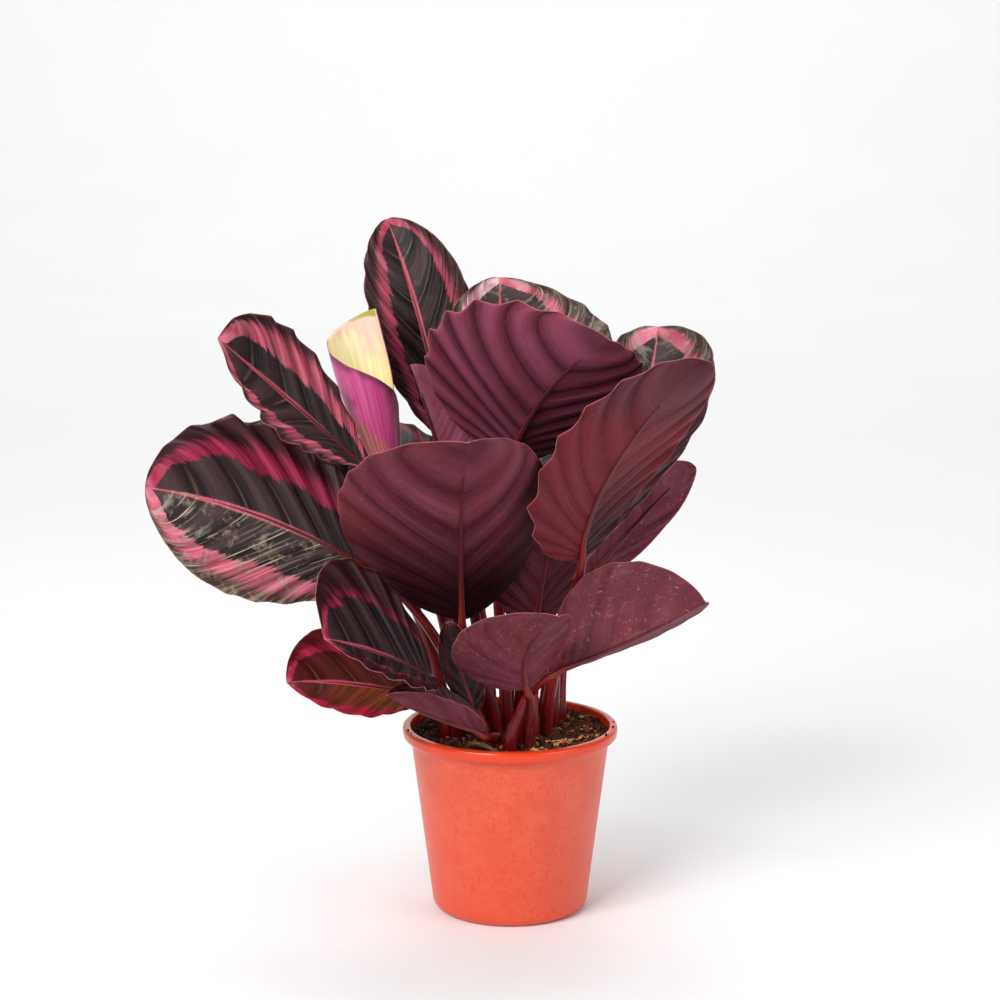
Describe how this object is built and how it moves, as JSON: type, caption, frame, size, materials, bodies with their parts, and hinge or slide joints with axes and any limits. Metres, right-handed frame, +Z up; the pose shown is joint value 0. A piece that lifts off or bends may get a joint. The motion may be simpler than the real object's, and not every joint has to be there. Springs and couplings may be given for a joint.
{
  "type": "potted calathea plant",
  "caption": "Prayer plant in a round plastic nursery pot: broad waved leaves with purple undersides and feathered pink rings on slender stalks, with a young leaf still rolled.",
  "frame": {"origin": "middle of the pot's underside, on the plane it stands on", "axes": "+Z up out of the pot, -Y to the front where the leaf faces are seen as in the picture, +X to the right"},
  "size_m": [0.3065, 0.2384, 0.3802],
  "materials": {
    "pot": "moulded orange plastic, softly glossy",
    "soil": "dark damp potting compost, matte",
    "blade": "leaf blade: dark with a feathered pink ring above, plum purple below, softly glossy",
    "young_blade": "young rolled leaf: pink outside, cream inside",
    "stalk": "fleshy stalk, glossy dark red"
  },
  "bodies": {
    "root": {"pot": "pot", "soil": "soil", "blade_front_centre": "blade", "stalk_front_centre": "stalk", "blade_centre_tall": "blade", "stalk_centre_tall": "stalk", "blade_right_tall": "blade", "stalk_right_tall": "stalk", "blade_rear_right": "blade", "stalk_rear_right": "stalk", "blade_rear_centre": "blade", "stalk_rear_centre": "stalk", "blade_rear_left": "blade", "stalk_rear_left": "stalk", "blade_left_upper": "blade", "stalk_left_upper": "stalk", "blade_left_big": "blade", "stalk_left_big": "stalk", "blade_left_hidden": "blade", "stalk_left_hidden": "stalk", "blade_left_low": "blade", "stalk_left_low": "stalk", "blade_left_lowest": "blade", "stalk_left_lowest": "stalk", "blade_front_left": "blade", "stalk_front_left": "stalk", "blade_inner_left": "blade", "stalk_inner_left": "stalk", "blade_front_small": "blade", "stalk_front_small": "stalk", "blade_right_low": "blade", "stalk_right_low": "stalk", "blade_right_middle": "blade", "stalk_right_middle": "stalk", "blade_inner_right": "blade", "stalk_inner_right": "stalk", "blade_inner_folded": "blade", "stalk_inner_folded": "stalk", "blade_back_right": "blade", "stalk_back_right": "stalk", "blade_back_centre": "blade", "stalk_back_centre": "stalk", "blade_back_left": "blade", "stalk_back_left": "stalk", "blade_rolled": "young_blade", "stalk_rolled": "stalk", "shoot": "stalk"}
  },
  "joints": []
}
